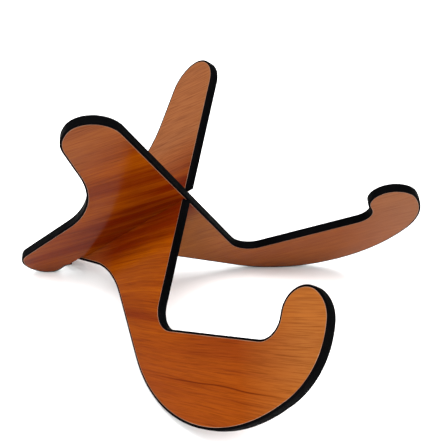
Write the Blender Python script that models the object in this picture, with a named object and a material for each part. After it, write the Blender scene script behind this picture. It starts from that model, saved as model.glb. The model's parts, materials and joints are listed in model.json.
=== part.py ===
"""X-frame guitar floor stand: two flat laminated boards that slot into each other and stand at right angles.

Each board is drawn flat, in millimetres, in its own plane: x runs forward along the crossing line, y runs up
across it, and z is the board's thickness. The left board carries the hook that is on the left from the front.
The right board is its mirror image, and it slides up and forward off the left one along the crossing line.
"""

import math
from collections import namedtuple

import bmesh
import bpy
from mathutils import Matrix, Vector

MM = 0.001

# Driving dimensions, in millimetres unless the name says degrees.
BOARD_THICKNESS = 9.0
SPREAD_DEG = 45.0  # each board leans this far from upright, about the crossing line
EDGING_DEPTH = 2.0  # how far the edging strip reaches in from the rim
EDGING_ROUND = 0.9  # radius of its two outer corners
CORNER_FACETS = 2  # flats round each of those corners
VENEER_THICKNESS = 0.6
GLUE_GAP = 0.3  # between neighbouring pieces of one board
SLOT_CLEARANCE = 0.3  # between the two boards, on each side
SLOT_BOTTOM = -90.0  # where the two slots meet, measured along the crossing line
MOUTH_RELIEF_LENGTH = 16.0  # the lead-in cut at each slot's mouth
MOUTH_RELIEF_RISE = 3.2
MOUTH_RELIEF_DEPTH = 4.5
CHORD_ERROR = 0.05  # how far a facet may stand off its true arc
SAME_POINT = 0.01  # neighbouring rim points closer than this are one
SHARP_DEG = 35.0  # edges that turn more than this are shaded sharp
CUTTER_OVERRUN = 1.0  # how far the lead-in's cutter runs past the board's middle and its own depth

# The rim is one closed run of arcs joined by straight tangents, anticlockwise from the arm's tip.
# A round with a negative radius is a hollow in the rim.
Round = namedtuple("Round", "name forward up radius")
RIM = (
    Round("arm tip, front", 23.5, 126, 28.5),
    Round("arm tip, back", 22.5, 117, 37),
    Round("hollow behind the arm", -118.5, 166, -107),
    Round("rear foot, top", -200.5, 31.5, 27.5),
    Round("rear foot, heel", -208, 27.5, 19.5),
    Round("hollow in front of the heel", -198, -1.5, -10),
    Round("arch", -191.5, -103.5, -96),
    Round("belly", 59.5, -97, 142),
    Round("nose", 85, -162.5, 72),
    Round("hook, outside", 125, -172, 31),
    Round("hook, tip", 131, -166.5, 23),
    Round("hollow inside the hook", 90.5, -156.5, -18.5),
    Round("cradle corner", -14.5, -111.5, -23),
)
HEEL = 4
BELLY = 7


def tangent_heading(first, second):
    """The direction, in radians, of the straight run that leaves one round and meets the next."""
    across = Vector((second.forward - first.forward, second.up - first.up))
    rise = second.radius - first.radius
    run = math.sqrt(max(across.length_squared - rise * rise, 0.0))
    return math.atan2(across.y, across.x) - math.atan2(rise, run)


def rim_points(inset=0.0):
    """The rim's corner points, moved inwards by inset, which keeps every arc's centre."""
    rounds = [item._replace(radius=item.radius - inset) for item in RIM]
    headings = [tangent_heading(item, rounds[(i + 1) % len(rounds)]) for i, item in enumerate(rounds)]
    points = []
    for i, item in enumerate(rounds):
        turn = (headings[i] - headings[i - 1]) % math.tau
        if item.radius < 0:
            turn -= math.tau
        facet = 2 * math.acos(1 - CHORD_ERROR / abs(item.radius))
        steps = max(1, math.ceil(abs(turn) / facet))
        for step in range(steps + 1):
            heading = headings[i - 1] + turn * step / steps
            point = Vector(
                (
                    item.forward + item.radius * math.sin(heading),
                    item.up - item.radius * math.cos(heading),
                )
            )
            if not points or (point - points[-1]).length > SAME_POINT:
                points.append(point)
    return points


def outline_curve(name, inset):
    """A closed flat curve along the rim, moved inwards by inset."""
    curve = bpy.data.curves.new(name, "CURVE")
    curve.dimensions = "2D"
    points = rim_points(inset)
    spline = curve.splines.new("POLY")
    spline.points.add(len(points) - 1)
    for target, point in zip(spline.points, points):
        target.co = (point.x * MM, point.y * MM, 0.0, 1.0)
    spline.use_cyclic_u = True
    return curve


def curve_to_mesh(name, curve):
    """A mesh object from a curve, with its loose caps welded on."""
    source = bpy.data.objects.new(name + "_curve", curve)
    bpy.context.scene.collection.objects.link(source)
    bpy.context.view_layer.update()
    graph = bpy.context.evaluated_depsgraph_get()
    mesh = bpy.data.meshes.new_from_object(source.evaluated_get(graph))
    bpy.data.objects.remove(source)
    shape = bmesh.new()
    shape.from_mesh(mesh)
    bmesh.ops.remove_doubles(shape, verts=shape.verts, dist=1e-6)
    bmesh.ops.recalc_face_normals(shape, faces=shape.faces)
    shape.to_mesh(mesh)
    shape.free()
    return bpy.data.objects.new(name, mesh)


def sheet(name, bottom, top):
    """A flat piece inside the edging, from height bottom to top in the board's thickness."""
    curve = outline_curve(name, EDGING_DEPTH + GLUE_GAP)
    curve.fill_mode = "BOTH"
    curve.extrude = (top - bottom) / 2 * MM
    piece = curve_to_mesh(name, curve)
    piece.data.transform(Matrix.Translation((0, 0, (top + bottom) / 2 * MM)))
    return piece


def edging_profile():
    """The edging's section: flat against the core, rounded on its two outer corners.

    The sweep turns the section's x axis towards the middle of the board, so the strip lies at negative x.
    """
    straight = BOARD_THICKNESS / 2 - EDGING_ROUND
    section = [(0.0, -BOARD_THICKNESS / 2), (0.0, BOARD_THICKNESS / 2)]
    for side, first in ((1, 90.0), (-1, 180.0)):
        for step in range(CORNER_FACETS + 1):
            angle = math.radians(first + 90.0 * step / CORNER_FACETS)
            out = EDGING_ROUND - EDGING_DEPTH + EDGING_ROUND * math.cos(angle)
            section.append((out, side * straight + EDGING_ROUND * math.sin(angle)))
    curve = bpy.data.curves.new("edging_section", "CURVE")
    curve.dimensions = "2D"
    spline = curve.splines.new("POLY")
    spline.points.add(len(section) - 1)
    for target, (x, y) in zip(spline.points, section):
        target.co = (x * MM, y * MM, 0.0, 1.0)
    spline.use_cyclic_u = True
    return bpy.data.objects.new("edging_section", curve)


def edging(name, profile):
    """The strip wrapped round the rim: the section swept along the line where it meets the core."""
    curve = outline_curve(name, EDGING_DEPTH)
    curve.bevel_mode = "OBJECT"
    curve.bevel_object = profile
    return curve_to_mesh(name, curve)


def box(name, low, high):
    """A box between two corners, in millimetres."""
    mesh = bpy.data.meshes.new(name)
    shape = bmesh.new()
    bmesh.ops.create_cube(shape, size=1.0)
    size = [(b - a) * MM for a, b in zip(low, high)]
    middle = [(a + b) / 2 * MM for a, b in zip(low, high)]
    bmesh.ops.transform(shape, matrix=Matrix.LocRotScale(middle, None, size), verts=shape.verts)
    shape.to_mesh(mesh)
    shape.free()
    return bpy.data.objects.new(name, mesh)


def prism(name, section, start, end):
    """A bar along the crossing line with the given section in (up, thickness), in millimetres."""
    curve = bpy.data.curves.new(name, "CURVE")
    curve.dimensions = "2D"
    curve.fill_mode = "BOTH"
    curve.extrude = (end - start) / 2 * MM
    spline = curve.splines.new("POLY")
    spline.points.add(len(section) - 1)
    for target, (up, depth) in zip(spline.points, section):
        target.co = (up * MM, depth * MM, 0.0, 1.0)
    spline.use_cyclic_u = True
    piece = curve_to_mesh(name, curve)
    along = Matrix(((0, 0, 1, (start + end) / 2 * MM), (1, 0, 0, 0), (0, 1, 0, 0), (0, 0, 0, 1)))
    piece.data.transform(along)
    return piece


def slot_cutters(side, opens_forward, lower):
    """The cutters for one board's slot and for the lead-in on the upper wall of its mouth."""
    wall = BOARD_THICKNESS / 2 + SLOT_CLEARANCE
    reach = BOARD_THICKNESS  # the slot's cutter runs this far past the board
    front_mouth, rear_mouth = rim_crossings()
    if opens_forward:
        start, end = SLOT_BOTTOM - SLOT_CLEARANCE / 2, front_mouth + reach
        lead_in = (front_mouth - MOUTH_RELIEF_LENGTH, end)
    else:
        start, end = rear_mouth - reach, SLOT_BOTTOM + SLOT_CLEARANCE / 2
        lead_in = (start, rear_mouth + MOUTH_RELIEF_LENGTH)
    slot = box(side + "_slot", (start, -wall, -reach), (end, wall, reach))
    slant = MOUTH_RELIEF_RISE / MOUTH_RELIEF_DEPTH
    near, far = -CUTTER_OVERRUN, MOUTH_RELIEF_DEPTH + CUTTER_OVERRUN
    section = [
        (wall + slant * near, lower * near),
        (wall + slant * far, lower * far),
        (wall + slant * near, lower * far),
    ]
    return slot, prism(side + "_lead_in", section, *lead_in)


def rim_crossings():
    """Where the rim crosses the crossing line: at the front edge and at the arch."""
    points = rim_points()
    found = []
    for first, second in zip(points, points[1:] + points[:1]):
        if (first.y < 0) != (second.y < 0):
            share = first.y / (first.y - second.y)
            found.append(first.x + share * (second.x - first.x))
    return max(found), min(found)


def finish(name, colour, roughness):
    """A plain material."""
    material = bpy.data.materials.new(name)
    material.use_nodes = True
    shader = material.node_tree.nodes["Principled BSDF"]
    shader.inputs["Base Color"].default_value = (*colour, 1.0)
    shader.inputs["Roughness"].default_value = roughness
    shader.inputs["Metallic"].default_value = 0.0
    return material


def board(side, opens_forward, lower, collections, finishes, profile):
    """One board's four pieces, flat in its own plane and slotted. lower is the z sign of its underside."""
    parts, cutters = collections
    half = BOARD_THICKNESS / 2
    skin = half - VENEER_THICKNESS
    pieces = {
        "core": sheet(side + "_core", -skin + GLUE_GAP, skin - GLUE_GAP),
        "edging": edging(side + "_edging", profile),
    }
    for face, sign in (("top", -lower), ("bottom", lower)):
        bottom, top = sorted((sign * skin, sign * half))
        pieces[face + "_veneer"] = sheet(side + "_" + face + "_veneer", bottom, top)
    holder = bpy.data.objects.new(side + "_board", None)
    holder.empty_display_size = 0.05
    parts.objects.link(holder)
    tools = slot_cutters(side, opens_forward, lower)
    for tool in tools:
        cutters.objects.link(tool)
        tool.parent = holder
        tool.hide_render = True
        tool.display_type = "WIRE"
    for kind, piece in pieces.items():
        parts.objects.link(piece)
        piece.parent = holder
        piece.data.materials.clear()
        piece.data.materials.append(finishes[kind])
        piece.data.shade_smooth()
        piece.data.set_sharp_from_angle(angle=math.radians(SHARP_DEG))
        for tool in tools:
            cut = piece.modifiers.new(tool.name, "BOOLEAN")
            cut.operation = "DIFFERENCE"
            cut.solver = "EXACT"
            cut.object = tool
    return holder, pieces["edging"]


def main():
    for item in list(bpy.data.objects):
        bpy.data.objects.remove(item)
    collections = []
    for name in ("guitar_stand", "cutters"):
        collection = bpy.data.collections.new(name)
        bpy.context.scene.collection.children.link(collection)
        collections.append(collection)
    collections[1].hide_render = True
    wood = finish("veneer", (0.42, 0.12, 0.02), 0.4)
    finishes = {
        "core": finish("core", (0.45, 0.28, 0.14), 0.8),
        "edging": finish("edging", (0.012, 0.013, 0.014), 0.55),
        "top_veneer": wood,
        "bottom_veneer": wood,
    }
    profile = edging_profile()
    left, left_rim = board("left", True, -1, collections, finishes, profile)
    right, right_rim = board("right", False, 1, collections, finishes, profile)
    bpy.data.objects.remove(profile)

    # The board's own axes, stood upright: x to the front, y up, z to the left.
    upright = Matrix(((0, 0, -1, 0), (-1, 0, 0, 0), (0, 1, 0, 0), (0, 0, 0, 1)))
    spread = math.radians(SPREAD_DEG)
    ground = tangent_heading(RIM[HEEL], RIM[BELLY])
    slope = math.atan(-math.cos(spread) * math.tan(ground))
    stand = bpy.data.objects.new("crossing", None)
    collections[0].objects.link(stand)
    stand.empty_display_size = 0.05
    for holder, sign in ((left, 1), (right, -1)):
        holder.parent = stand
        holder.matrix_local = Matrix.Rotation(sign * spread, 4, "Y") @ upright
    stand.rotation_euler = (-slope, 0, 0)
    bpy.context.view_layer.update()
    rims = [rim.matrix_world @ vertex.co for rim in (left_rim, right_rim) for vertex in rim.data.vertices]
    back, front = max(point.y for point in rims), min(point.y for point in rims)
    stand.location = (0, -(back + front) / 2, -min(point.z for point in rims))


main()
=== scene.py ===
"""The looks of the X-frame guitar stand: wood-faced boards with a soft black edging, on a pale floor."""

import json
import math

import bmesh
import bpy
from mathutils import Matrix, Vector


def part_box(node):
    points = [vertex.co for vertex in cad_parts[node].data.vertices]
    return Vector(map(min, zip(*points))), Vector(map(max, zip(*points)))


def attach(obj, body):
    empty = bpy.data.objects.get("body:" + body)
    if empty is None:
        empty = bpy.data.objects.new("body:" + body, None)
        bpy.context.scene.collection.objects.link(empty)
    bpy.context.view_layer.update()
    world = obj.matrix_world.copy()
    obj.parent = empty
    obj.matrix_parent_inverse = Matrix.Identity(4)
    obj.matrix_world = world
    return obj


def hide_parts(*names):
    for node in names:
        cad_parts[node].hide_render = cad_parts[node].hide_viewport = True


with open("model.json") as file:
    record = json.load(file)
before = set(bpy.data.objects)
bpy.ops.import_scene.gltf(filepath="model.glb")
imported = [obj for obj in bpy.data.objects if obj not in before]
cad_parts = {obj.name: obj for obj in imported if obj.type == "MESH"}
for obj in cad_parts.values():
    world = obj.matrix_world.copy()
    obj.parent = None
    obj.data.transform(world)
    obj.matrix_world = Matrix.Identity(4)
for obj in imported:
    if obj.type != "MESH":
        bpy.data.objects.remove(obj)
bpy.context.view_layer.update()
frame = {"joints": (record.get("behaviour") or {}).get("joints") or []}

# ---------------------------------------------------------------- the board, in metres, in its own plane

BOARD_THICKNESS = 0.009
EDGING_DEPTH = 0.002
EDGING_ROUND = 0.0009
VENEER_THICKNESS = 0.0006
GLUE_GAP = 0.0003
HAIRLINE = 0.00002  # left of the glue gap between the edging and the sheets, so that no light comes through
SLOT_CLEARANCE = 0.0003
SLOT_BOTTOM = -0.090  # where the two slots end, forward along the crossing line
MOUTH_RELIEF_LENGTH = 0.016  # the lead-in cut at a slot's mouth: along the slot, sideways and into the board
MOUTH_RELIEF_RISE = 0.0032
MOUTH_RELIEF_DEPTH = 0.0045
CUTTER_OVERRUN = 0.001
SPREAD = math.radians(45)  # how far each board is turned from upright, about the crossing line
ARC_STEP = 0.0025  # the longest facet on a round
STRAIGHT_STEP = 3 * ARC_STEP  # and on a straight run
SAME_POINT = 0.00001  # points of the rim closer than this are one point
SHARP_ANGLE = math.radians(40)  # edges that turn more than this stay crisp
VENEER_EASE = 0.00012  # the small chamfer round a veneer's outer edge
VENEER_HIGHLIGHT_BAND = 0.0004  # how far in from the rim the veneer's pale edge, with its painted highlight, reaches
EDGING_CROWN = 0.00012  # how far the edging's middle stands out past its sides

# Each round of the rim: how far forward, how far up, radius. A negative radius is a hollow.
RIM = (
    (0.0235, 0.1260, 0.0285),  # arm tip, front
    (0.0225, 0.1170, 0.0370),  # arm tip, back
    (-0.1185, 0.1660, -0.1070),  # hollow behind the arm
    (-0.2005, 0.0315, 0.0275),  # rear foot, top
    (-0.2080, 0.0275, 0.0195),  # rear foot, heel
    (-0.1980, -0.0015, -0.0100),  # hollow in front of the heel
    (-0.1915, -0.1035, -0.0960),  # arch
    (0.0595, -0.0970, 0.1420),  # belly
    (0.0850, -0.1625, 0.0720),  # nose
    (0.1250, -0.1720, 0.0310),  # hook, outside
    (0.1310, -0.1665, 0.0230),  # hook, tip
    (0.0905, -0.1565, -0.0185),  # hollow inside the hook
    (-0.0145, -0.1115, -0.0230),  # cradle corner
)


def tangent_heading(first, second):
    """The direction of the straight run that leaves one round and meets the next."""
    across = Vector((second[0] - first[0], second[1] - first[1]))
    rise = second[2] - first[2]
    run = math.sqrt(max(across.length_squared - rise * rise, 0.0))
    return math.atan2(across.y, across.x) - math.atan2(rise, run)


def divided(last, end):
    """The points between the ends of a straight run, which starts at the last (point, outward normal)."""
    start, away = last
    count = max(1, math.ceil((end - start).length / STRAIGHT_STEP))
    return [(start.lerp(end, part / count), away) for part in range(1, count)]


def rim_run():
    """Points round the rim as (point, outward normal), evenly fine, with straight runs divided too."""
    headings = [tangent_heading(item, RIM[(i + 1) % len(RIM)]) for i, item in enumerate(RIM)]
    run = []
    for i, (forward, up, radius) in enumerate(RIM):
        turn = (headings[i] - headings[i - 1]) % math.tau
        if radius < 0:
            turn -= math.tau
        steps = max(2, math.ceil(abs(turn * radius) / ARC_STEP))
        for step in range(steps + 1):
            heading = headings[i - 1] + turn * step / steps
            normal = Vector((math.sin(heading), -math.cos(heading)))
            point = Vector((forward, up)) + radius * normal
            if run and (point - run[-1][0]).length < SAME_POINT:
                continue
            if run and step == 0:
                run.extend(divided(run[-1], point))
            run.append((point, normal))
    run.extend(divided(run[-1], run[0][0]))
    return run


RUN = rim_run()

# ---------------------------------------------------------------- where the boards stand, from the frame

slide = frame["joints"][0]
slope = math.atan2(slide["axis"][2], -slide["axis"][1])
UPRIGHT = Matrix(((0, 0, -1, 0), (-1, 0, 0, 0), (0, 1, 0, 0), (0, 0, 0, 1)))  # forward is -Y, up is Z
SIDES = {"left": (1, -1), "right": (-1, 1)}  # lean, and the z sign of the board's underside


def board_matrix(side):
    """A board's place in the row frame: leaning axes, moved so that its core lies where the CAD has it."""
    turn = Matrix.Rotation(-slope, 4, "X") @ Matrix.Rotation(SIDES[side][0] * SPREAD, 4, "Y") @ UPRIGHT
    half = BOARD_THICKNESS / 2 - VENEER_THICKNESS - GLUE_GAP
    inset = EDGING_DEPTH + GLUE_GAP
    rim = [point - normal * inset for point, normal in RUN]
    outline = [turn @ Vector((*point, z)) for point in rim for z in (-half, half)]
    low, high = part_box(side + "_core")
    middle = [(min(p[k] for p in outline) + max(p[k] for p in outline)) / 2 for k in range(3)]
    return Matrix.Translation((low + high) / 2 - Vector(middle)) @ turn


PLACE = {side: board_matrix(side) for side in SIDES}

# ---------------------------------------------------------------- mesh tools


def finished(name, shape):
    """A new object made of this shape, with its faces pointing out."""
    bmesh.ops.recalc_face_normals(shape, faces=shape.faces)
    mesh = bpy.data.meshes.new(name)
    shape.to_mesh(mesh)
    shape.free()
    return bpy.data.objects.new(name, mesh)


def loft(name, loops, closed, rim_loops=()):
    """Rings parallel to the rim, each given as (inset, z), joined in order.

    An open loft gets a flat cap at each end. The faces between a ring in rim_loops and the next one take the
    piece's second material.
    """
    shape = bmesh.new()
    rings = []
    for inset, z in loops:
        rings.append([shape.verts.new((*(point - normal * inset), z)) for point, normal in RUN])
    pairs = list(zip(rings, rings[1:]))
    if closed:
        pairs.append((rings[-1], rings[0]))
    for index, (ring, following) in enumerate(pairs):
        for i in range(len(RUN)):
            j = (i + 1) % len(RUN)
            face = shape.faces.new((ring[i], ring[j], following[j], following[i]))
            face.material_index = 1 if index in rim_loops else 0
            face.smooth = True
    if not closed:
        shape.faces.new(rings[0])
        shape.faces.new(rings[-1])
    piece = finished(name, shape)
    bpy.context.scene.collection.objects.link(piece)
    return piece


def prism(name, section, start, end):
    """A closed bar along the crossing line, with its section given in (up, thickness)."""
    shape = bmesh.new()
    ends = [[shape.verts.new((along, up, depth)) for up, depth in section] for along in (start, end)]
    shape.faces.new(ends[0])
    shape.faces.new(ends[1])
    for i in range(len(section)):
        j = (i + 1) % len(section)
        shape.faces.new((ends[0][i], ends[0][j], ends[1][j], ends[1][i]))
    return finished(name, shape)


def crossings():
    """How far forward the rim meets the crossing line, at the front edge and at the arch."""
    points = [point for point, normal in RUN]
    found = []
    for first, second in zip(points, points[1:] + points[:1]):
        if (first.y < 0) != (second.y < 0):
            found.append(first.x + first.y / (first.y - second.y) * (second.x - first.x))
    return max(found), min(found)


def slot_tools(side):
    """The two cutters that shape a board's slot, the same as the CAD's."""
    wall = BOARD_THICKNESS / 2 + SLOT_CLEARANCE
    reach = BOARD_THICKNESS
    front, rear = crossings()
    lower = SIDES[side][1]
    if side == "left":
        start, end = SLOT_BOTTOM - SLOT_CLEARANCE / 2, front + reach
        lead_in = (front - MOUTH_RELIEF_LENGTH, end)
    else:
        start, end = rear - reach, SLOT_BOTTOM + SLOT_CLEARANCE / 2
        lead_in = (start, rear + MOUTH_RELIEF_LENGTH)
    slot = [(-wall, -reach), (wall, -reach), (wall, reach), (-wall, reach)]
    slant = MOUTH_RELIEF_RISE / MOUTH_RELIEF_DEPTH
    near, far = -CUTTER_OVERRUN, MOUTH_RELIEF_DEPTH + CUTTER_OVERRUN
    relief = [
        (wall + slant * near, lower * near),
        (wall + slant * far, lower * far),
        (wall + slant * near, lower * far),
    ]
    return [prism(side + "_slot_tool", slot, start, end), prism(side + "_relief_tool", relief, *lead_in)]


def carve(piece, tools):
    """Cuts the tools out of a piece and keeps the result as its own mesh."""
    for tool in tools:
        cut = piece.modifiers.new(tool.name, "BOOLEAN")
        cut.operation = "DIFFERENCE"
        cut.solver = "EXACT"
        cut.object = tool
    bpy.context.view_layer.update()
    graph = bpy.context.evaluated_depsgraph_get()
    mesh = bpy.data.meshes.new_from_object(piece.evaluated_get(graph))
    piece.modifiers.clear()
    piece.data = mesh


# ---------------------------------------------------------------- node helpers

ON_BOARD = "on_board"
BUMP_DEPTH = 0.0002
MIX_SOCKETS = (0, 6, 7)  # the mix node's factor and its two colours
MIX_RESULT = 2


class Nodes:
    """A short way to write a material's node tree."""

    def __init__(self, name):
        self.material = bpy.data.materials.new(name)
        self.material.use_nodes = True
        self.tree = self.material.node_tree
        self.shader = self.tree.nodes["Principled BSDF"]

    def add(self, kind, settings=(), **inputs):
        """A node of this kind. Inputs are named by socket, with spaces written as underscores."""
        node = self.tree.nodes.new(kind)
        for key, value in dict(settings).items():
            setattr(node, key, value)
        for key, value in inputs.items():
            self.put(node.inputs[key.replace("_", " ")], value)
        return node

    def put(self, socket, value):
        """Feeds a socket from another node's output, or sets it to a value."""
        if isinstance(value, bpy.types.NodeSocket):
            self.tree.links.new(value, socket)
        else:
            socket.default_value = value

    def math(self, operation, *values):
        node = self.add("ShaderNodeMath", {"operation": operation})
        for socket, value in zip(node.inputs, values):
            self.put(socket, value)
        return node.outputs[0]

    def mapped(self, source, scale=(1, 1, 1), rotation=(0, 0, 0), location=(0, 0, 0)):
        change = {"Scale": scale, "Rotation": rotation, "Location": location}
        node = self.add("ShaderNodeMapping", Vector=source, **change)
        return node.outputs[0]

    def noise(self, vector, scale, detail=2.0, roughness=0.5):
        node = self.add("ShaderNodeTexNoise", Vector=vector, Scale=scale, Detail=detail, Roughness=roughness)
        return node.outputs["Fac"]

    def ramp(self, value, stops):
        """A colour ramp, whose stops are (position, colour)."""
        node = self.add("ShaderNodeValToRGB", Fac=value)
        elements = node.color_ramp.elements
        while len(elements) < len(stops):
            elements.new(0.5)
        for element, (position, colour) in zip(elements, stops):
            element.position = position
            element.color = (*colour, 1.0)
        return node.outputs["Color"]

    def range(self, value, low, high, to_low=0.0, to_high=1.0):
        """The value carried from one range to another and held at its ends. Either may run downwards."""
        limits = {"From_Min": low, "From_Max": high, "To_Min": to_low, "To_Max": to_high}
        node = self.add("ShaderNodeMapRange", {"clamp": True}, Value=value, **limits)
        return node.outputs[0]

    def mix(self, factor, first, second):
        """Two colours mixed: none of the second at 0, all of it at 1."""
        node = self.add("ShaderNodeMix", {"data_type": "RGBA", "blend_type": "MIX", "clamp_factor": True})
        sockets = [node.inputs[i] for i in MIX_SOCKETS]
        for socket, value in zip(sockets, (factor, first, second)):
            if isinstance(value, tuple):
                value = (*value, 1.0)
            self.put(socket, value)
        return node.outputs[MIX_RESULT]

    def bump(self, height, strength):
        node = self.add("ShaderNodeBump", Height=height, Strength=strength, Distance=BUMP_DEPTH)
        return node.outputs["Normal"]

    def on_board(self):
        """The point's place on its flat board: forward along the crossing line, up across it, depth."""
        return self.add("ShaderNodeAttribute", {"attribute_name": ON_BOARD}).outputs["Vector"]


def srgb(red, green, blue):
    """A colour given as screen values from 11 to 255, made linear."""
    return tuple(((value / 255 + 0.055) / 1.055) ** 2.4 for value in (red, green, blue))


# ---------------------------------------------------------------- materials

WOOD_LIGHT = (0.203, 0.0405, 0.0003)
WOOD_MID = (0.165, 0.030, 0.0002)
WOOD_DEEP = (0.110, 0.0135, 0.0002)
# Painted shade: the darkest tone, laid in the valley along the crossing line where the two boards meet.
WOOD_CROSSING_SHADE = (0.092, 0.0062, 0.0001)
WOOD_PORE = (0.042, 0.004, 0.0002)
# The pale tone and the tan tone are painted sheen, a whitish reflection laid into the colour; the dusk tone
# is painted shade.
WOOD_PAINTED_SHEEN = (0.176, 0.068, 0.0260)
WOOD_PAINTED_WARM_SHEEN = (0.262, 0.100, 0.0220)
WOOD_PAINTED_SHADE = (0.140, 0.0260, 0.0040)
PLY_LIGHT = srgb(196, 158, 112)
PLY_DARK = srgb(150, 108, 66)
PLY_FUZZ = srgb(120, 84, 50)
PLY_THICKNESS = 0.0012
EDGING_BLACKS = ((0.0005, 0.0005, 0.0006), (0.0016, 0.0016, 0.0019))
# Painted shade in the creases of the leather grain.
EDGING_CREASE_SHADE = (0.0003, 0.0003, 0.0004)
# The veneer's rim: paler raw wood with a painted highlight where the eased edge catches light.
EDGE_HIGHLIGHT_COLOURS = ((0.11, 0.034, 0.010), (0.24, 0.12, 0.060))

GRAIN_ANGLE = math.radians(20)  # the grain drops towards the front, nearly as much as the cradle floor
RING_SPACING = 0.0048
SEED_STEP = 1.7  # how far apart the veneers' noise is read, so that no two are alike

# Dark lines in the left board's upper face, along and across the grain: across, from, to, half width.
VEINS = ((-0.177, 0.003, 0.183, 0.0009), (-0.186, 0.105, 0.168, 0.0008))
VEIN_FADE_IN = 0.05
VEIN_FADE_OUT = 0.04

# Painted sheen and shade on each side's faces, up the arm, across the belly, along the hook and down the
# foot: paler where a whitish sheen is painted, darker where shade is painted towards the bottom.
# Each entry: axis, from, to, how much, colour.
PAINTED_SHEEN_AND_SHADE = {
    "left": (
        ("Y", 0.015, 0.070, 0.75, WOOD_PAINTED_SHEEN),
        ("Y", -0.105, -0.175, 0.50, WOOD_PAINTED_SHADE),
        ("X", 0.060, 0.130, 0.50, WOOD_PAINTED_WARM_SHEEN),
        ("X", -0.110, -0.170, 0.30, WOOD_PAINTED_SHEEN),
    ),
    "right": (
        ("Y", 0.090, 0.130, 0.40, WOOD_PAINTED_SHEEN),
        ("Y", -0.008, -0.030, 0.45, WOOD_PAINTED_WARM_SHEEN),
        ("Y", -0.065, -0.135, 0.55, WOOD_PAINTED_SHADE),
        ("X", 0.060, 0.130, 0.50, WOOD_PAINTED_SHEEN),
    ),
}
GRAIN_BEND = {"left": 0.18, "right": 0.0}  # how far the grain swings level above the belly, as a slope


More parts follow.
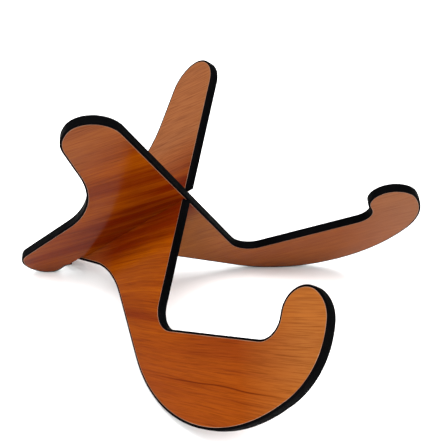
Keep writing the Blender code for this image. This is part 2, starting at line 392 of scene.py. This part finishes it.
def veneer_material(name, seed, painted_light_zones, bend, veins=()):
    """Orange-brown satin veneer. Its grain runs forwards, and painted shade darkens it in a band along the
    crossing line, where the two boards meet; painted sheen and shade lie over it zone by zone.

    The numbers that follow a noise or a range are tuned against the photograph.
    """
    n = Nodes(name)
    place = n.on_board()
    board = n.add("ShaderNodeSeparateXYZ", Vector=place)
    turned = n.mapped(place, rotation=(0, 0, GRAIN_ANGLE))
    parts = n.add("ShaderNodeSeparateXYZ", Vector=turned)
    along = parts.outputs["X"]
    drift = n.noise(n.mapped(turned, scale=(3.5, 7, 0), location=(seed, seed, seed)), 1.0, 1.0)
    waver = n.noise(n.mapped(turned, scale=(18, 40, 0), location=(seed, 0, seed)), 1.0, 1.0)
    across = n.math("ADD", parts.outputs["Y"], n.math("MULTIPLY", n.math("SUBTRACT", drift, 0.5), 0.030))
    across = n.math("ADD", across, n.math("MULTIPLY", n.math("SUBTRACT", waver, 0.5), 0.0012))
    swing = n.math("MULTIPLY", board.outputs["X"], n.range(board.outputs["Y"], -0.090, -0.015, 0.0, bend))
    across = n.math("SUBTRACT", across, swing)
    grain = n.add("ShaderNodeCombineXYZ", X=along, Y=across, Z=seed).outputs[0]

    def streaks(length, width, detail=2.0, roughness=0.5, shift=0.0):
        """Noise drawn out along the grain, from its length and width in metres."""
        drawn = n.mapped(grain, scale=(1 / length, 1 / width, 1), location=(shift, shift, 0))
        return n.noise(drawn, 1.0, detail, roughness)

    broad = streaks(0.40, 0.036, 1.0, 0.5)
    bands = streaks(0.26, 0.0090, 2.0, 0.6, 3.1)
    ribbons = streaks(0.24, 0.0028, 2.0, 0.6, 7.7)
    fibres = streaks(0.034, 0.0013, 2.0, 0.65, 11.3)
    flecks = streaks(0.040, 0.0011, 1.0, 0.5, 17.9)
    swell = streaks(0.30, 0.060, 1.0, 0.5, 23.3)

    tone = n.math("ADD", n.math("MULTIPLY", broad, 0.6), n.math("MULTIPLY", bands, 0.4))
    wood = n.ramp(tone, [(0.40, WOOD_LIGHT), (0.5, WOOD_MID), (0.62, WOOD_DEEP)])
    # Painted shade in the valley along the crossing line, where the two boards meet: darkest across the
    # middle, fading fore and aft of the crossing, broken up by the grain's bands.
    lower_side = n.range(board.outputs["Y"], -0.042, -0.020)
    upper_side = n.range(board.outputs["Y"], 0.062, 0.030)
    crossing_shade = n.math("MULTIPLY", lower_side, upper_side)
    crossing_shade = n.math("MULTIPLY", crossing_shade, n.range(n.math("ABSOLUTE", board.outputs["X"]), 0.10, 0.20, 1.0, 0.35))
    dark = n.math("MULTIPLY", crossing_shade, n.range(bands, 0.36, 0.60, 0.45, 1.0))
    wood = n.mix(dark, wood, WOOD_CROSSING_SHADE)
    rings = n.math("ADD", n.math("MULTIPLY", across, 1 / RING_SPACING), n.math("MULTIPLY", swell, 16.0))
    rings = n.range(n.math("PINGPONG", rings, 1.0), 0.65, 1.0, 0.0, 1.0)
    rings = n.math("MULTIPLY", rings, n.range(ribbons, 0.35, 0.60, 0.1, 1.0))
    wood = n.mix(n.math("MULTIPLY", rings, 0.22), wood, WOOD_DEEP)
    wood = n.mix(n.range(ribbons, 0.47, 0.64, 0.0, 0.3), wood, WOOD_DEEP)
    # Pores darken further inside the band of painted shade along the crossing line.
    wood = n.mix(n.math("MULTIPLY", crossing_shade, n.range(ribbons, 0.50, 0.62, 0.0, 0.32)), wood, WOOD_PORE)
    # Painted sheen and painted shade, zone by zone.
    for axis, start, end, amount, colour in painted_light_zones:
        wood = n.mix(n.range(board.outputs[axis], start, end, 0.0, amount), wood, colour)
    wood = n.mix(n.range(fibres, 0.44, 0.60, 0.0, 0.25), wood, WOOD_PORE)
    wood = n.mix(n.range(flecks, 0.60, 0.70, 0.0, 0.35), wood, WOOD_PORE)
    for middle, start, end, width in veins:
        wander = n.math("MULTIPLY", n.math("SUBTRACT", streaks(0.07, 0.5, 1.0, 0.5, middle), 0.5), 0.006)
        aside = n.math("SUBTRACT", parts.outputs["Y"], middle)
        apart = n.math("ABSOLUTE", n.math("SUBTRACT", aside, wander))
        entry = n.range(along, start, start + VEIN_FADE_IN)
        inside = n.math("MULTIPLY", entry, n.range(along, end - VEIN_FADE_OUT, end, 1.0, 0.0))
        mark = n.math("MULTIPLY", inside, n.range(apart, 0.0, width, 1.0, 0.0))
        halo = n.math("MULTIPLY", inside, n.range(apart, 0.0, 6 * width, 0.35, 0.0))
        wood = n.mix(halo, wood, WOOD_DEEP)
        wood = n.mix(n.math("MULTIPLY", mark, 0.8), wood, WOOD_PORE)
    n.put(n.shader.inputs["Base Color"], wood)
    n.put(n.shader.inputs["Roughness"], n.range(ribbons, 0.2, 0.8, 0.11, 0.19))
    n.shader.inputs["Specular IOR Level"].default_value = 0.045
    n.shader.inputs["Specular Tint"].default_value = (1.0, 0.4, 0.03, 1.0)
    relief = n.math("ADD", n.math("MULTIPLY", fibres, 0.7), n.math("MULTIPLY", ribbons, 0.3))
    n.put(n.shader.inputs["Normal"], n.bump(relief, 0.12))
    return n.material


def veneer_rim_highlight_material():
    """The veneer's eased edge, where paler raw wood shows beside the edging, with a painted highlight where
    the edge catches light.
    """
    n = Nodes("veneer_eased_edge_highlight")
    place = n.on_board()
    highlight_mottle = n.noise(n.mapped(place, scale=(60, 60, 60)), 1.0, 3.0, 0.6)
    # Painted highlight on the pale rim, mottled by noise.
    n.put(n.shader.inputs["Base Color"], n.ramp(highlight_mottle, list(zip((0.35, 0.7), EDGE_HIGHLIGHT_COLOURS))))
    n.put(n.shader.inputs["Roughness"], n.range(highlight_mottle, 0.3, 0.7, 0.4, 0.6))
    n.put(n.shader.inputs["Normal"], n.bump(highlight_mottle, 0.2))
    return n.material


def edging_material():
    """Soft black leather-grained strip, with painted shade in the grain's creases."""
    n = Nodes("edging_black_leather")
    place = n.on_board()
    grain = n.add("ShaderNodeTexVoronoi", {"feature": "DISTANCE_TO_EDGE"}, Vector=place, Scale=900.0)
    cells = grain.outputs["Distance"]
    soft = n.noise(place, 160.0, 4.0, 0.6)
    patch = n.noise(place, 28.0, 3.0, 0.55)
    black = n.ramp(patch, list(zip((0.3, 0.7), EDGING_BLACKS)))
    # Painted shade in the creases between the grain's cells.
    crease_shaded = n.mix(n.range(cells, 0.0, 0.12, 0.6, 0.0), black, EDGING_CREASE_SHADE)
    n.put(n.shader.inputs["Base Color"], crease_shaded)
    n.put(n.shader.inputs["Roughness"], n.range(soft, 0.3, 0.7, 0.5, 0.68))
    n.shader.inputs["Specular IOR Level"].default_value = 0.006
    height = n.math("ADD", n.range(cells, 0.0, 0.25), n.math("MULTIPLY", soft, 0.5))
    n.put(n.shader.inputs["Normal"], n.bump(height, 0.45))
    return n.material


def core_material():
    """The sheet under the veneer: thin crossed plies, seen only inside the slots."""
    n = Nodes("core_plies")
    place = n.on_board()
    depth = n.add("ShaderNodeSeparateXYZ", Vector=place).outputs["Z"]
    ply = n.math("PINGPONG", n.math("MULTIPLY", depth, 1 / PLY_THICKNESS), 1.0)
    fuzz = n.noise(n.mapped(place, scale=(400, 400, 2500)), 1.0, 3.0, 0.6)
    plies = n.ramp(ply, [(0.42, PLY_LIGHT), (0.58, PLY_DARK)])
    n.put(n.shader.inputs["Base Color"], n.mix(n.range(fuzz, 0.35, 0.65, 0.0, 0.5), plies, PLY_FUZZ))
    n.put(n.shader.inputs["Roughness"], n.range(fuzz, 0.3, 0.7, 0.7, 0.9))
    n.put(n.shader.inputs["Normal"], n.bump(fuzz, 0.4))
    return n.material


RIM_HIGHLIGHT_FINISH = veneer_rim_highlight_material()
EDGING_FINISH = edging_material()
CORE_FINISH = core_material()

# ---------------------------------------------------------------- pieces


def veneer(side, face, tools, material):
    """One face of a board: a thin sheet with an eased outer edge."""
    sign = SIDES[side][1] * (1 if face == "bottom" else -1)
    half = BOARD_THICKNESS / 2
    rim = EDGING_DEPTH + GLUE_GAP
    loops = [
        (rim, sign * (half - VENEER_THICKNESS)),
        (rim, sign * (half - VENEER_EASE)),
        (rim + VENEER_EASE, sign * half),
        (rim + VENEER_HIGHLIGHT_BAND, sign * half),
    ]
    node = f"{side}_{face}_veneer"
    # The side, the chamfer and the outer band take the rim finish with its painted highlight.
    piece = loft(node + "_fine", loops, False, rim_loops=(0, 1, 2))
    piece.data.materials.append(material)
    piece.data.materials.append(RIM_HIGHLIGHT_FINISH)
    carve(piece, tools)
    place_piece(piece, side, node)


def core(side, tools):
    """The sheet between the veneers."""
    half = BOARD_THICKNESS / 2 - VENEER_THICKNESS - GLUE_GAP
    rim = EDGING_DEPTH + GLUE_GAP
    piece = loft(side + "_core_fine", [(rim, -half), (rim, half)], False)
    piece.data.materials.append(CORE_FINISH)
    carve(piece, tools)
    place_piece(piece, side, side + "_core")


def edging(side, tools):
    """The strip: flat against the core, slightly crowned outside, with soft corners."""
    half = BOARD_THICKNESS / 2
    inner = EDGING_DEPTH + GLUE_GAP - HAIRLINE
    loops = [(inner, -half), (inner, half)]
    straight = half - EDGING_ROUND
    for sign, angles in ((1, (90, 72, 54, 36, 18, 0)), (-1, (0, -18, -36, -54, -72, -90))):
        for degrees in angles:
            angle = math.radians(degrees)
            inset = EDGING_ROUND - EDGING_ROUND * math.cos(angle) + EDGING_CROWN
            loops.append((inset, sign * straight + EDGING_ROUND * math.sin(angle)))
        if sign == 1:
            middle = (straight * 0.5, 0.0, -straight * 0.5)
            loops.extend((EDGING_CROWN * (z / straight) ** 2, z) for z in middle)
    piece = loft(side + "_edging_fine", loops, True)
    piece.data.materials.append(EDGING_FINISH)
    carve(piece, tools)
    place_piece(piece, side, side + "_edging")


def place_piece(piece, side, node):
    """Smooths a piece, puts it in its board's place and ties it to the frame.

    Each vertex keeps its place on the flat board in an attribute, which the materials read.
    """
    mesh = piece.data
    mesh.set_sharp_from_angle(angle=SHARP_ANGLE)
    on_board = mesh.attributes.new(ON_BOARD, "FLOAT_VECTOR", "POINT")
    for vertex, entry in zip(mesh.vertices, on_board.data):
        entry.vector = vertex.co
    mesh.transform(PLACE[side])
    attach(piece, side + "_board")
    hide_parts(node)


number = 0
for side in SIDES:
    tools = slot_tools(side)
    for tool in tools:
        bpy.context.scene.collection.objects.link(tool)
    core(side, tools)
    for face in ("top", "bottom"):
        marks = VEINS if (side, face) == ("left", "top") else ()
        name = f"veneer_{side}_{face}"
        material = veneer_material(name, SEED_STEP * number, PAINTED_SHEEN_AND_SHADE[side], GRAIN_BEND[side], marks)
        veneer(side, face, tools, material)
        number += 1
    edging(side, tools)
    for tool in tools:
        bpy.data.objects.remove(tool)

# ---------------------------------------------------------------- studio

# The room's brightness, from a direction near the horizon to one higher up.
HORIZON_FADE = {"From Min": 0.05, "From Max": 0.35, "To Min": 1.0, "To Max": 0.49}
FLOOR_HALF = 6.0
FLOOR_DROP = 0.0002  # the floor lies this far under the stand, so that the two never share a plane


def floor():
    """A large pale floor."""
    shape = bmesh.new()
    bmesh.ops.create_grid(shape, x_segments=2, y_segments=2, size=FLOOR_HALF)
    mesh = bpy.data.meshes.new("studio_floor")
    shape.to_mesh(mesh)
    shape.free()
    sheet = bpy.data.objects.new("studio_floor", mesh)
    bpy.context.scene.collection.objects.link(sheet)
    sheet.location.z = -FLOOR_DROP
    n = Nodes("studio_floor")
    n.shader.inputs["Base Color"].default_value = (0.95, 0.95, 0.95, 1.0)
    n.shader.inputs["Roughness"].default_value = 0.9
    n.shader.inputs["Specular IOR Level"].default_value = 0.1
    sheet.data.materials.append(n.material)


def area_light(name, location, target, size, power):
    """A soft square white light aimed at a point."""
    data = bpy.data.lights.new(name, "AREA")
    data.shape = "SQUARE"
    data.size = size
    data.energy = power
    lamp = bpy.data.objects.new(name, data)
    lamp.location = location
    lamp.rotation_euler = (Vector(target) - Vector(location)).to_track_quat("-Z", "Y").to_euler()
    bpy.context.scene.collection.objects.link(lamp)


def studio():
    """A pale room, whiter at the horizon, with a large softbox overhead and a small one behind, left."""
    world = bpy.data.worlds.new("studio")
    world.use_nodes = True
    tree = world.node_tree
    background = tree.nodes["Background"]
    direction = tree.nodes.new("ShaderNodeTexCoord").outputs["Generated"]
    parts = tree.nodes.new("ShaderNodeSeparateXYZ")
    fade = tree.nodes.new("ShaderNodeMapRange")
    tree.links.new(direction, parts.inputs[0])
    tree.links.new(parts.outputs["Z"], fade.inputs["Value"])
    for socket, value in HORIZON_FADE.items():
        fade.inputs[socket].default_value = value
    tree.links.new(fade.outputs[0], background.inputs["Strength"])
    background.inputs["Color"].default_value = (1.0, 1.0, 1.0, 1.0)
    bpy.context.scene.world = world
    area_light("overhead", (-1.0, -2.0, 11.0), (0, 0, 0), 14.0, 3800)
    area_light("back_left", (-1.6, 1.0, 1.2), (0, 0, 0.1), 1.0, 27)


def camera():
    """The view from the left front, looking down at the crossing, as fitted to the photograph."""
    data = bpy.data.cameras.new("camera")
    data.sensor_width = 36.0
    data.lens = 57.2
    data.clip_start = 0.01
    view = bpy.data.objects.new("camera", data)
    heading, pitch, roll = (math.radians(degrees) for degrees in (-63.5, -28.15, 1.92))
    turn = Matrix.Rotation(math.pi / 2 + pitch, 3, "X") @ Matrix.Rotation(roll, 3, "Z")
    view.rotation_euler = (Matrix.Rotation(heading, 3, "Z") @ turn).to_euler()
    view.location = (-0.553, -0.3148, 0.4482)
    bpy.context.scene.collection.objects.link(view)
    bpy.context.scene.camera = view


floor()
studio()
camera()
bpy.context.scene.view_settings.view_transform = "Standard"
